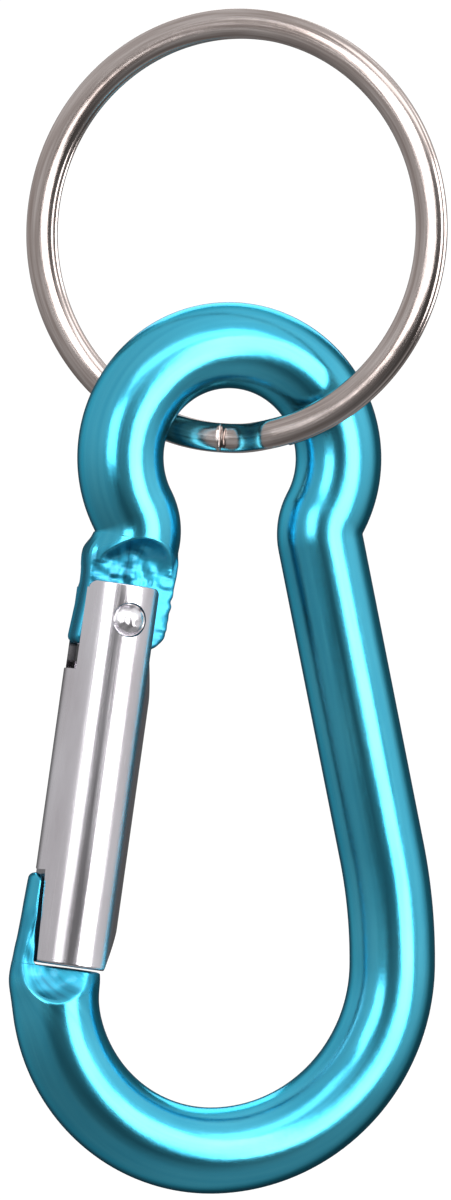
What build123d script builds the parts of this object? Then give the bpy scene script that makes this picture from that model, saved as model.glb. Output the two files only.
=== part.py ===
from build123d import *
from math import acos, asin, atan2, cos, degrees, hypot, pi, radians, sin, tan
import os

# Carabiner keyring: a bent aluminium rod with a sprung tubular gate on its left leg, hung from a split ring.
# The carabiner lies in the XZ plane with its loop up, X is across it, and Y is its thickness (front is -Y).
# The origin is the point of the split ring's inner edge by which the keyring hangs.

# ---------------------------------------------------------------- driving dimensions, mm and degrees
# Carabiner body: a round rod, with the radii of its bends taken on the centreline. Two bends make the base,
# one on the side of the spine and one on the side of the latch, and meet at its lowest point
rod_diameter = 5.8
loop_bend_radius = 7.6
neck_bend_radius = 3.0
spine_bend_radius = 12.5
latch_bend_radius = 11.0
base_side_shift = 0.75
leg_bow_radius = 36.0
leg_tilt = 12.25
loop_to_bottom = 46.6

# Hinge end of the rod: a coined tongue that passes inside the gate
hinge_drop = 10.95
tongue_thickness = 2.7
tongue_reach = 1.95
tongue_trim = 0.05
ear_overhang = 0.15
ear_corner_radius = 1.6
tongue_edge_radius = 0.5
shoulder_height = 4.55
coin_radius = 1.1

# Latch end of the rod: a seat under the gate and a nose outside it
latch_thickness = 3.9
latch_coin_drop = 1.2
nose_root_thickness = 1.6
nose_tip_thickness = 0.5
nose_length = 6.4
nose_tip_radius = 0.22
seat_corner_radius = 0.35

# Gate
gate_foot_inset = 0.82
gate_inset = 0.25
gate_diameter = 5.95
gate_wall = 0.5
gate_above_pivot = 2.35
gate_below_pivot = 23.6
outer_slot_depth = 3.7
inner_slot_depth = 2.6
tongue_window = 0.7
spring_bore_depth = 12.0
floor_thickness = 1.4
toe_chamfer_width = 0.45
toe_chamfer_height = 2.0

# Rivet
rivet_diameter = 1.6
rivet_head_diameter = 2.2
rivet_head_height = 0.62
rivet_head_edge = 0.12
spot_face_diameter = 2.9
spot_face_half_width = 2.5

# Spring and plunger
plunger_head_length = 1.2
plunger_stem_diameter = 2.3
plunger_stem_length = 4.2
spring_wire_diameter = 0.4
spring_wire_sides = 8
spring_pitch = 1.2

# Split ring
ring_diameter = 29.9
ring_wire_width = 2.0
ring_coil_thickness = 0.66
ring_coil_gap = 0.06
ring_wire_edge_bevel = 0.18
ring_turn = 35.0
ring_end_angle = -93.0
ring_jog_angle = 12.0
ring_end_gap_angle = 3.0
ring_to_loop = 15.3
ring_side_shift = 0.2

# Clearances
tongue_side_gap = 0.1
rivet_running_gap = 0.05
rivet_fixed_gap = 0.01
plunger_radial_gap = 0.15
plunger_end_gap = 0.05
seat_gap = 0.25
nose_gap = 0.15
nose_tip_gap = 0.25
spring_end_gap = 0.02

# ---------------------------------------------------------------- places worked out from the dimensions
rod_radius = rod_diameter / 2
gate_radius = gate_diameter / 2
gate_bore_radius = gate_radius - gate_wall
slot_width = tongue_thickness + 2 * tongue_side_gap
ring_radius = ring_diameter / 2
ring_inner_radius = ring_radius - ring_wire_width
ring_mid_radius = ring_radius - ring_wire_width / 2
coil_offset = (ring_coil_thickness + ring_coil_gap) / 2
tilt = radians(leg_tilt)

ring_centre = Vector(0, 0, -ring_inner_radius)
loop_centre = ring_centre - Vector(ring_side_shift, 0, ring_to_loop)
front = (0, -1, 0)

# The carabiner's own plane: x across, y up, origin at the middle of the loop
face = Plane(origin=loop_centre, x_dir=(1, 0, 0), z_dir=front)

# The straight legs touch the bowed stretches, which touch the base's bends at their widest points
spine_x = spine_bend_radius - base_side_shift
spine_bend_y = spine_bend_radius - loop_to_bottom
latch_x = -latch_bend_radius - base_side_shift
latch_bend_y = latch_bend_radius - loop_to_bottom
leg_foot_x = spine_x - leg_bow_radius * (1 - cos(tilt))
leg_foot_y = spine_bend_y + leg_bow_radius * sin(tilt)
# The neck bends touch the loop from outside and the legs from outside, which settles where they stand
leg_reach = leg_foot_x * cos(tilt) + leg_foot_y * sin(tilt) + neck_bend_radius
neck_distance = loop_bend_radius + neck_bend_radius
neck_angle = degrees(acos(leg_reach / neck_distance)) - leg_tilt
neck_x = neck_distance * cos(radians(neck_angle))
neck_y = -neck_distance * sin(radians(neck_angle))
leg_top_x = neck_x - neck_bend_radius * cos(tilt)
leg_top_y = neck_y - neck_bend_radius * sin(tilt)


def leg_centre_x(height):
    """Distance of a leg's centreline from the middle, at a height in the carabiner's plane."""
    return leg_foot_x + (leg_foot_y - height) * tan(tilt)


def turned(origin, angle):
    """The carabiner's plane at a new origin, with the y axis of a left leg that leans inward by an angle."""
    lean = radians(angle)
    return Plane(origin=origin, x_dir=(cos(lean), 0, -sin(lean)), z_dir=front)


# The hinge's pivot is on the centreline of the left leg, which mirrors the right one
pivot_x = -leg_centre_x(-hinge_drop)
pivot = face.from_local_coords((pivot_x, -hinge_drop, 0))

# The gate leans so that its foot stands over the latch, a little inside the rod's centreline there
gate_reach = hypot(gate_inset, gate_below_pivot)
foot_offset = pivot_x - latch_x - gate_foot_inset
gate_tilt = degrees(atan2(gate_below_pivot, gate_inset) - acos(foot_offset / gate_reach))
leg_plane = turned(pivot, leg_tilt)
gate_plane = turned(pivot, gate_tilt)

# The nose's inner side is upright, and the seat under the gate is square to the gate
nose_face_x = latch_x - rod_radius + nose_root_thickness
seat_middle = face.to_local_coords(
    gate_plane.from_local_coords((-gate_inset, -gate_below_pivot - seat_gap, 0))
)


def seat_height(x):
    """Height of the seat in the carabiner's plane, at a distance x from its middle."""
    return seat_middle.Y - (x - seat_middle.X) * tan(radians(gate_tilt))


nose_tip_y = seat_height(nose_face_x) + nose_length


def tongue_end(x):
    """Where the tongue's end, square to the gate, stands in the leg's plane at a distance x from the pivot."""
    lean = radians(leg_tilt - gate_tilt)
    return (x * sin(lean) - tongue_reach) / cos(lean)


def gate_section(height):
    """Plane square to the gate's axis, at a height above the pivot."""
    origin = gate_plane.from_local_coords((-gate_inset, height, 0))
    return Plane(origin=origin, x_dir=front, z_dir=gate_plane.y_dir)


# ---------------------------------------------------------------- carabiner body
def rod_centreline():
    """The rod's route from the tongue, over the loop, down the right leg and round the base to the nose."""
    nose_rise = degrees(asin((nose_tip_y + nose_tip_radius - latch_bend_y) / leg_bow_radius))
    start_y = -hinge_drop + shoulder_height / 2
    with BuildLine(face) as route:
        Line((-leg_centre_x(start_y), start_y), (-leg_top_x, leg_top_y))
        CenterArc((-neck_x, neck_y), neck_bend_radius, -leg_tilt, leg_tilt + neck_angle)
        CenterArc((0, 0), loop_bend_radius, 180 + neck_angle, -180 - 2 * neck_angle)
        CenterArc((neck_x, neck_y), neck_bend_radius, 180 - neck_angle, neck_angle + leg_tilt)
        Line((leg_top_x, leg_top_y), (leg_foot_x, leg_foot_y))
        CenterArc((spine_x - leg_bow_radius, spine_bend_y), leg_bow_radius, leg_tilt, -leg_tilt)
        CenterArc((-base_side_shift, spine_bend_y), spine_bend_radius, 0, -90)
        CenterArc((-base_side_shift, latch_bend_y), latch_bend_radius, -90, -90)
        CenterArc((latch_x + leg_bow_radius, latch_bend_y), leg_bow_radius, 180, -nose_rise)
    return route.wire()


def coin_cut(plane, thickness, start, length):
    """Flattens the rod front and back, past a hollow shoulder; the plane's y axis points to the rod's end."""
    half = thickness / 2
    with BuildSketch(plane) as profile:
        with BuildLine():
            shoulder = CenterArc((half + coin_radius, start), coin_radius, 180, 90)
            Polyline(shoulder @ 1, (rod_diameter, start - coin_radius), (rod_diameter, start + length))
            Polyline((rod_diameter, start + length), (half, start + length), shoulder @ 0)
        make_face()
        mirror(about=Plane.YZ)
    extrude(profile.sketch, amount=rod_diameter, both=True, mode=Mode.SUBTRACT)


rod_route = rod_centreline()
tongue_outer_x = -rod_radius + tongue_trim
tongue_inner_x = rod_radius + ear_overhang
tongue_top = leg_plane.to_local_coords(face.from_local_coords((-leg_top_x, leg_top_y, 0))).Y

with BuildPart() as carabiner_body:
    # Tongue: a flat plate with an ear on its inner side and a rounded heel
    with BuildSketch(leg_plane):
        with BuildLine():
            Polyline(
                (tongue_outer_x, tongue_top),
                (tongue_outer_x, tongue_end(tongue_outer_x)),
                (tongue_inner_x, tongue_end(tongue_inner_x)),
                (tongue_inner_x, 0),
                (tongue_inner_x - ear_overhang, tongue_top),
                close=True,
            )
        make_face()
        heel = (tongue_inner_x, tongue_end(tongue_inner_x))
        fillet(vertices().sort_by_distance(heel)[0], radius=ear_corner_radius)
    extrude(amount=tongue_thickness / 2, both=True)
    flat_faces = faces().filter_by(Axis.Y)
    fillet(flat_faces.edges(), radius=tongue_edge_radius)

    # Rod
    with BuildSketch(Plane(origin=rod_route @ 0, z_dir=rod_route % 0)):
        Circle(rod_radius)
    sweep(path=rod_route)

    # Coined flats at the hinge end and at the latch end, both struck level
    tongue_side = Plane(origin=pivot, x_dir=front, z_dir=(1, 0, 0))
    coin_cut(tongue_side, tongue_thickness, -shoulder_height, rod_diameter + shoulder_height)
    latch_origin = face.from_local_coords((latch_x, seat_height(latch_x), 0))
    latch_side = Plane(origin=latch_origin, x_dir=front, z_dir=(-1, 0, 0))
    coin_cut(latch_side, latch_thickness, -latch_coin_drop, nose_length + rod_diameter)

    # Seat and nose: all above the seat goes, but for the nose outside the gate
    clear_left = latch_x - rod_diameter
    clear_right = latch_x + rod_diameter
    clear_top = nose_tip_y + rod_diameter
    nose_root_x = latch_x - rod_radius
    with BuildSketch(face):
        with BuildLine():
            Polyline(
                (clear_left, clear_top),
                (clear_left, seat_height(nose_root_x)),
                (nose_root_x, seat_height(nose_root_x)),
                (nose_face_x - nose_tip_thickness, nose_tip_y),
                (nose_face_x, nose_tip_y),
                (nose_face_x, seat_height(nose_face_x)),
                (clear_right, seat_height(clear_right)),
                (clear_right, clear_top),
                close=True,
            )
        make_face()
        tip = vertices().filter_by_position(Axis.Y, nose_tip_y - 0.01, nose_tip_y + 0.01)
        fillet(tip, radius=nose_tip_radius)
        seat_corner = (nose_face_x, seat_height(nose_face_x))
        fillet(vertices().sort_by_distance(seat_corner)[0], radius=seat_corner_radius)
    extrude(amount=rod_diameter, both=True, mode=Mode.SUBTRACT)

    # The nose's tip is round when seen from its side
    nose_side = Plane(origin=face.from_local_coords((latch_x, nose_tip_y, 0)), x_dir=front, z_dir=(-1, 0, 0))
    with BuildSketch(nose_side):
        with Locations((0, latch_thickness / 2)):
            Rectangle(rod_diameter, rod_diameter, align=(Align.CENTER, Align.MAX))
            Circle(latch_thickness / 2, mode=Mode.SUBTRACT)
    extrude(amount=rod_diameter, both=True, mode=Mode.SUBTRACT)

    # Hole for the hinge rivet
    with BuildSketch(gate_plane):
        Circle(rivet_diameter / 2 + rivet_running_gap)
    extrude(amount=rod_diameter, both=True, mode=Mode.SUBTRACT)

carabiner_body.part.label = "carabiner_body"

# ---------------------------------------------------------------- gate
gate_height = gate_above_pivot + gate_below_pivot
cut_reach = 2 * gate_diameter
floor_top = -spring_bore_depth
floor_bottom = floor_top - floor_thickness

with BuildPart() as gate:
    # Tube with a web across it, which the spring stands on
    with BuildSketch(gate_section(-gate_below_pivot)):
        Circle(gate_radius)
    extrude(amount=gate_height)
    with BuildSketch(gate_section(floor_top)):
        Circle(gate_bore_radius)
    extrude(amount=gate_above_pivot + spring_bore_depth, mode=Mode.SUBTRACT)
    with BuildSketch(gate_section(-gate_below_pivot)):
        Circle(gate_bore_radius)
    extrude(amount=gate_below_pivot + floor_bottom, mode=Mode.SUBTRACT)

    # Slots that the tongue stands in: deeper on the outer side, short on the inner side
    with BuildSketch(gate_plane):
        with Locations((-gate_inset, -outer_slot_depth)):
            Rectangle(cut_reach, cut_reach, align=(Align.MAX, Align.MIN))
        with Locations((-gate_inset, -inner_slot_depth)):
            Rectangle(cut_reach, cut_reach, align=(Align.MIN, Align.MIN))
    extrude(amount=slot_width / 2, both=True, mode=Mode.SUBTRACT)

    # Window along the tongue's outer edge, in line with the tongue
    with BuildSketch(leg_plane):
        with Locations((tongue_outer_x + tongue_window, -outer_slot_depth)):
            Rectangle(cut_reach, cut_reach, align=(Align.MAX, Align.MIN))
    extrude(amount=gate_radius, both=True, mode=Mode.SUBTRACT)

    # Flat on the outer side of the free end, which shuts against the nose
    with BuildSketch(face):
        with Locations((nose_face_x + nose_gap, nose_tip_y + nose_tip_gap)):
            Rectangle(cut_reach, cut_reach, align=(Align.MAX, Align.MAX))
    extrude(amount=gate_radius, both=True, mode=Mode.SUBTRACT)

    # Eased corner on the inner side of the free end
    toe_x = gate_radius - gate_inset
    with BuildSketch(gate_plane):
        with BuildLine():
            Polyline(
                (toe_x - toe_chamfer_width, -gate_below_pivot),
                (toe_x, -gate_below_pivot),
                (toe_x, -gate_below_pivot + toe_chamfer_height),
                close=True,
            )
        make_face()
    extrude(amount=gate_radius, both=True, mode=Mode.SUBTRACT)

    # Spot faces and holes for the rivet
    for side in (gate_plane.offset(spot_face_half_width), gate_plane.offset(-spot_face_half_width)):
        with BuildSketch(side):
            Circle(spot_face_diameter / 2)
        outward = gate_radius if side.origin.Y < 0 else -gate_radius
        extrude(amount=outward, mode=Mode.SUBTRACT)
    with BuildSketch(gate_plane):
        Circle(rivet_diameter / 2 + rivet_fixed_gap)
    extrude(amount=gate_radius, both=True, mode=Mode.SUBTRACT)

gate.part.label = "gate"

# ---------------------------------------------------------------- hinge rivet
head_edge_y = spot_face_half_width + rivet_head_edge
head_top_y = spot_face_half_width + rivet_head_height
head_radius = rivet_head_diameter / 2

with BuildPart() as hinge_rivet:
    with BuildSketch(Plane(origin=pivot, x_dir=(1, 0, 0), z_dir=(0, 0, 1))):
        with BuildLine():
            dome = TangentArc((0, head_top_y), (head_radius, head_edge_y), tangent=(1, 0))
            Polyline(
                dome @ 1,
                (head_radius, spot_face_half_width),
                (rivet_diameter / 2, spot_face_half_width),
                (rivet_diameter / 2, 0),
                (0, 0),
                dome @ 0,
            )
        make_face()
        mirror(about=Plane.XZ)
    revolve(axis=Axis(pivot, (0, 1, 0)))

hinge_rivet.part.label = "hinge_rivet"

# ---------------------------------------------------------------- spring plunger
plunger_top = -tongue_reach - plunger_end_gap
plunger_radius = gate_bore_radius - plunger_radial_gap

with BuildPart() as spring_plunger:
    with BuildSketch(gate_section(plunger_top)):
        Circle(plunger_radius)
    extrude(amount=-plunger_head_length)
    with BuildSketch(gate_section(plunger_top - plunger_head_length)):
        Circle(plunger_stem_diameter / 2)
    extrude(amount=-plunger_stem_length)

spring_plunger.part.label = "spring_plunger"

# ---------------------------------------------------------------- gate spring
spring_radius = (plunger_radius + plunger_stem_diameter / 2) / 2
wire_radius = spring_wire_diameter / 2
spring_foot = floor_top + wire_radius + spring_end_gap
spring_head = plunger_top - plunger_head_length - wire_radius - spring_end_gap

with BuildPart() as gate_spring:
    foot = gate_section(spring_foot)
    with BuildLine():
        coil = Helix(
            pitch=spring_pitch,
            height=spring_head - spring_foot,
            radius=spring_radius,
            center=foot.origin,
            direction=foot.z_dir,
        )
    with BuildSketch(Plane(origin=coil @ 0, z_dir=coil % 0)):
        RegularPolygon(wire_radius, spring_wire_sides)
    sweep(path=coil, is_frenet=True)

gate_spring.part.label = "gate_spring"

# ---------------------------------------------------------------- split ring
turn = radians(ring_turn)
ring_normal = Vector(-sin(turn), -cos(turn), 0)
ring_plane = Plane(origin=ring_centre, x_dir=(cos(turn), -sin(turn), 0), z_dir=ring_normal)


def wire_section(angle, offset):
    """Section of the ring's wire at an angle round the ring, moved along the ring's axis by an offset."""
    outward = Vector(ring_plane.x_dir).rotate(Axis((0, 0, 0), ring_normal), angle)
    along = outward.cross(ring_normal)
    with BuildSketch(Plane(origin=ring_centre, x_dir=outward, z_dir=along)) as section:
        with Locations((ring_mid_radius, offset)):
            Rectangle(ring_wire_width, ring_coil_thickness)
        chamfer(section.vertices(), length=ring_wire_edge_bevel)
    return section.sketch


jog_start = ring_end_angle + ring_end_gap_angle
jog_end = jog_start + ring_jog_angle
rear_start = jog_end + ring_end_gap_angle
ring_axis = Axis(ring_centre, ring_normal)

with BuildPart() as split_ring:
    # Front coil from its cut end round to the jog, and rear coil from the jog round to its cut end
    revolve(wire_section(jog_end, coil_offset), axis=ring_axis,
            revolution_arc=360 + ring_end_angle - jog_end)
    revolve(wire_section(rear_start, -coil_offset), axis=ring_axis,
            revolution_arc=360 + jog_start - rear_start)
    # Jog from the rear coil to the front coil
    jog_sections = []
    for share in (0, 0.25, 0.5, 0.75, 1):
        angle = jog_start + share * ring_jog_angle
        jog_sections.append(wire_section(angle, -coil_offset * cos(share * pi)))
    loft(jog_sections)

split_ring.part.label = "split_ring"

# ---------------------------------------------------------------- files
os.makedirs("parts", exist_ok=True)
for piece in (carabiner_body, gate, hinge_rivet, spring_plunger, gate_spring, split_ring):
    export_step(piece.part, f"parts/{piece.part.label}.step")
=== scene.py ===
from math import acos, atan2, cos, hypot, pi, radians, sin, tan

import bpy
import numpy as np
from mathutils import Matrix, Vector, noise


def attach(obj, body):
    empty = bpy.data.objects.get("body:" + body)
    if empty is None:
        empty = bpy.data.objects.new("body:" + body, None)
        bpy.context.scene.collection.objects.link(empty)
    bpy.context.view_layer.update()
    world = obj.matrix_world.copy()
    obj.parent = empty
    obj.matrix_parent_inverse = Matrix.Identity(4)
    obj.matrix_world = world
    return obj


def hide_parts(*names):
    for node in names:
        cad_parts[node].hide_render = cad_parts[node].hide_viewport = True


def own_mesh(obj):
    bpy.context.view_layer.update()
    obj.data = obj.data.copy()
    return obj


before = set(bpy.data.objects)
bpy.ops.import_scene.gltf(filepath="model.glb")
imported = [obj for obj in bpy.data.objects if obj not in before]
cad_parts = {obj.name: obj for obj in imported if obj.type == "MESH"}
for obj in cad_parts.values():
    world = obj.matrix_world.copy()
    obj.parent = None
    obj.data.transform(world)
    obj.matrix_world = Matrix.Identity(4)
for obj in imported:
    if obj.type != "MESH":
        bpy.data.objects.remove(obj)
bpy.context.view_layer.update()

# Carabiner keyring. Lengths are in millimetres here, and become metres when a mesh is made.
# The frame is the CAD model's: the carabiner lies in the XZ plane, its loop up, and its front is -Y. Local
# places are (x, y) in that plane, from the middle of the loop. Names that the CAD source has too carry its
# values, except for tongue_trim, nose_length, nose_tip_thickness, gate_below_pivot, toe_chamfer_width,
# toe_chamfer_height and seat_gap, which were refined here. Where the CAD gate has a spot face and a small
# hole for the rivet, the gate here has one hole just wider than the rivet's heads, which fill it.
MM = 0.001

# ---------------------------------------------------------------- dimensions
rod_radius = 2.9
loop_bend_radius = 7.6
neck_bend_radius = 3.0
spine_bend_radius = 12.5
latch_bend_radius = 11.0
base_side_shift = 0.75
leg_bow_radius = 36.0
leg_tilt = radians(12.25)
loop_to_bottom = 46.6

hinge_drop = 10.95
tongue_half = 1.35
tongue_reach = 1.95
tongue_trim = -0.08
ear_overhang = 0.15
ear_corner_radius = 1.6
tongue_edge_radius = 0.5
plate_height = 3.5

latch_half = 1.95
latch_coin_drop = 1.2
nose_root_thickness = 1.6
nose_tip_thickness = 0.7
nose_back_radius = 0.45
nose_length = 6.15
nose_tip_radius = 0.22
seat_corner_radius = 0.35
nose_face_slope = 0.1
nose_face_shift = 0.32
nose_clearance = 0.1
nose_tip_gap = 0.25
seat_rim_radius = 0.2
seat_gap = 0.17

gate_foot_inset = 0.82
gate_inset = 0.25
gate_radius = 2.975
gate_bore_radius = 2.475
gate_above_pivot = 2.35
gate_below_pivot = 23.45
outer_slot_depth = 3.7
inner_slot_depth = 2.6
slot_half = 1.45
floor_thickness = 1.4
toe_chamfer_width = 0.95
toe_chamfer_height = 3.2
tab_side_trim = 0.37
tab_outer_trim = 0.1
tab_corner_radius = 0.5
tab_taper_length = 3.0
tube_rim_radius = 0.22
tube_lip_radius = 0.1
gate_edge_ease = 0.07
spring_bore_depth = 12.0

rivet_radius = 0.8
rivet_head_radius = 1.1
rivet_head_height = 0.62
rivet_head_edge = 0.12
rivet_rim_radius = 0.1
rivet_hole_gap = 0.07
spot_face_half_width = 2.5

plunger_head_length = 1.2
plunger_radius = 2.325
plunger_stem_radius = 1.15
plunger_stem_length = 4.2
plunger_edge_ease = 0.15
spring_wire_radius = 0.2
spring_pitch = 1.2
spring_end_gap = 0.02
plunger_end_gap = 0.05

ring_radius = 14.95
ring_wire_width = 2.0
ring_coil_thickness = 0.66
ring_coil_gap = 0.06
ring_turn = radians(35)
ring_end_angle = -93.0
ring_jog_angle = 12.0
ring_end_gap_angle = 3.0
ring_to_loop = 15.3
ring_side_shift = 0.2

# ---------------------------------------------------------------- places worked out from them
ring_centre = np.array([0, 0, ring_wire_width - ring_radius])
loop_x = -ring_side_shift
loop_z = ring_centre[2] - ring_to_loop
spine_x = spine_bend_radius - base_side_shift
spine_bend_y = spine_bend_radius - loop_to_bottom
latch_x = -latch_bend_radius - base_side_shift
latch_bend_y = latch_bend_radius - loop_to_bottom
leg_foot_x = spine_x - leg_bow_radius * (1 - cos(leg_tilt))
leg_foot_y = spine_bend_y + leg_bow_radius * sin(leg_tilt)
leg_reach = leg_foot_x * cos(leg_tilt) + leg_foot_y * sin(leg_tilt) + neck_bend_radius
neck_distance = loop_bend_radius + neck_bend_radius
neck_angle = acos(leg_reach / neck_distance) - leg_tilt
neck_x = neck_distance * cos(neck_angle)
neck_y = -neck_distance * sin(neck_angle)
leg_top_x = neck_x - neck_bend_radius * cos(leg_tilt)
leg_top_y = neck_y - neck_bend_radius * sin(leg_tilt)

pivot = np.array([-(leg_foot_x + (leg_foot_y + hinge_drop) * tan(leg_tilt)), -hinge_drop])
leg_up = np.array([sin(leg_tilt), cos(leg_tilt)])
leg_across = np.array([cos(leg_tilt), -sin(leg_tilt)])
gate_reach = hypot(gate_inset, gate_below_pivot)
foot_offset = pivot[0] - latch_x - gate_foot_inset
gate_tilt = atan2(gate_below_pivot, gate_inset) - acos(foot_offset / gate_reach)
gate_up = np.array([sin(gate_tilt), cos(gate_tilt)])
gate_across = np.array([cos(gate_tilt), -sin(gate_tilt)])
gate_lean = leg_tilt - gate_tilt
tongue_top = (np.array([-leg_top_x, leg_top_y]) - pivot) @ leg_up

nose_root_x = latch_x - rod_radius
nose_face_x = nose_root_x + nose_root_thickness
seat_middle = pivot - gate_inset * gate_across - (gate_below_pivot + seat_gap) * gate_up


def seat_height(x):
    """Height of the seat under the gate, at a local x."""
    return seat_middle[1] - (x - seat_middle[0]) * tan(gate_tilt)


nose_tip_y = seat_height(nose_face_x) + nose_length
latch_coin_y = seat_height(latch_x) - latch_coin_drop
latch_end_top = -2 * hinge_drop
plunger_top = -tongue_reach - plunger_end_gap
spring_radius = (plunger_radius + plunger_stem_radius) / 2
spring_foot = -spring_bore_depth + spring_wire_radius + spring_end_gap
spring_head = plunger_top - plunger_head_length - spring_wire_radius - spring_end_gap


def gate_point(across, along, depth):
    """A point in millimetres from its place in the gate's frame, whose origin is the pivot."""
    x, y = pivot + across * gate_across + along * gate_up
    return loop_x + x, depth, loop_z + y


# ---------------------------------------------------------------- mesh helpers
TINY = 1e-6              # keeps a ray's share of an axis from being nought
AXIS_RADIUS = 0.02       # of the small flat that closes a turned piece on its axis
SEED_SHIFTS = (17.3, 5.1, 9.7)


def soft_min(a, b, blend):
    """The smaller of two values, rounded over where they are within blend of each other."""
    near = np.maximum(blend - np.abs(a - b), 0) / blend
    return np.minimum(a, b) - near**2 * blend / 4


def soft_max(a, b, blend):
    """The larger of two values, rounded over in the same way."""
    return -soft_min(-a, -b, blend)


def smooth_step(low, high, value):
    """Rises smoothly from 0 at a low value to 1 at a high one."""
    share = np.clip((value - low) / (high - low), 0, 1)
    return share * share * (3 - 2 * share)


def corner_inset(depth, radius):
    """How far a rounded corner of that radius stands in, at a depth below its top."""
    left = np.clip(radius - depth, 0, radius)
    return radius - np.sqrt(radius**2 - left**2)


def lumps(points, size, seed):
    """Smooth random numbers from about -0.6 to 0.6 at points in millimetres."""
    shift = Vector([step * seed for step in SEED_SHIFTS])
    return np.array([noise.noise(Vector(p) / size + shift) for p in points])


def new_piece(name, vertices, faces, body, material, grain=None):
    """A smooth-shaded mesh object from points in millimetres, riding on a CAD body."""
    mesh = bpy.data.meshes.new(name)
    mesh.from_pydata((np.asarray(vertices, float) * MM).tolist(), [], faces)
    mesh.validate()
    mesh.polygons.foreach_set("use_smooth", [True] * len(mesh.polygons))
    if grain is not None:
        layer = mesh.attributes.new("grain", "FLOAT_VECTOR", "POINT")
        layer.data.foreach_set("vector", np.asarray(grain, float).ravel())
    piece = bpy.data.objects.new(name, mesh)
    bpy.context.scene.collection.objects.link(piece)
    mesh.materials.append(material)
    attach(piece, body)
    return piece


def ring_faces(rings, around):
    """Quads between closed rings of points, with a flat face on each end."""
    faces = []
    for i in range(rings - 1):
        for j in range(around):
            k = (j + 1) % around
            faces.append((i * around + j, i * around + k, (i + 1) * around + k, (i + 1) * around + j))
    faces.append(tuple(reversed(range(around))))
    faces.append(tuple((rings - 1) * around + j for j in range(around)))
    return faces


# ---------------------------------------------------------------- node helpers
def new_material(name):
    """A material with a Principled shader: itself, its nodes, its links and the shader."""
    material = bpy.data.materials.new(name)
    material.use_nodes = True
    nodes = material.node_tree.nodes
    nodes.clear()
    output = nodes.new("ShaderNodeOutputMaterial")
    shader = nodes.new("ShaderNodeBsdfPrincipled")
    material.node_tree.links.new(shader.outputs["BSDF"], output.inputs["Surface"])
    return material, nodes, material.node_tree.links, shader


def noise_node(nodes, links, vector, scale, detail=4.0, roughness=0.55, stretch=(1, 1, 1)):
    """A noise texture over a vector that is first scaled along its axes."""
    mapping = nodes.new("ShaderNodeMapping")
    mapping.inputs["Scale"].default_value = stretch
    links.new(vector, mapping.inputs["Vector"])
    texture = nodes.new("ShaderNodeTexNoise")
    texture.inputs["Scale"].default_value = scale
    texture.inputs["Detail"].default_value = detail
    texture.inputs["Roughness"].default_value = roughness
    links.new(mapping.outputs["Vector"], texture.inputs["Vector"])
    return texture.outputs["Fac"]


def ramp_node(nodes, links, factor, stops):
    """A colour ramp with (place, colour) stops."""
    ramp = nodes.new("ShaderNodeValToRGB")
    elements = ramp.color_ramp.elements
    while len(elements) < len(stops):
        elements.new(0.5)
    for element, (place, colour) in zip(elements, stops):
        element.position = place
        element.color = (*colour, 1)
    links.new(factor, ramp.inputs["Fac"])
    return ramp.outputs["Color"]


def range_node(nodes, links, value, low, high, to_low, to_high, smooth=False):
    """A value carried from one range to another."""
    change = nodes.new("ShaderNodeMapRange")
    if smooth:
        change.interpolation_type = "SMOOTHSTEP"
    change.inputs["From Min"].default_value = low
    change.inputs["From Max"].default_value = high
    change.inputs["To Min"].default_value = to_low
    change.inputs["To Max"].default_value = to_high
    links.new(value, change.inputs["Value"])
    return change.outputs["Result"]


def math_node(nodes, links, operation, a, b):
    """An operation on two sockets."""
    step = nodes.new("ShaderNodeMath")
    step.operation = operation
    links.new(a, step.inputs[0])
    links.new(b, step.inputs[1])
    return step.outputs["Value"]


def bump_node(nodes, links, height, depth_mm, strength, below=None):
    """A bump from a height, on top of the normal of another bump."""
    bump = nodes.new("ShaderNodeBump")
    bump.inputs["Strength"].default_value = strength
    bump.inputs["Distance"].default_value = depth_mm * MM
    links.new(height, bump.inputs["Height"])
    if below is not None:
        links.new(below, bump.inputs["Normal"])
    return bump.outputs["Normal"]


def object_vector(nodes):
    """Metres along the object's own axes."""
    return nodes.new("ShaderNodeTexCoord").outputs["Object"]


def grain_vector(nodes):
    """Millimetres along, round and across a swept piece, stored on its mesh."""
    attribute = nodes.new("ShaderNodeAttribute")
    attribute.attribute_name = "grain"
    return attribute.outputs["Vector"]


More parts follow.
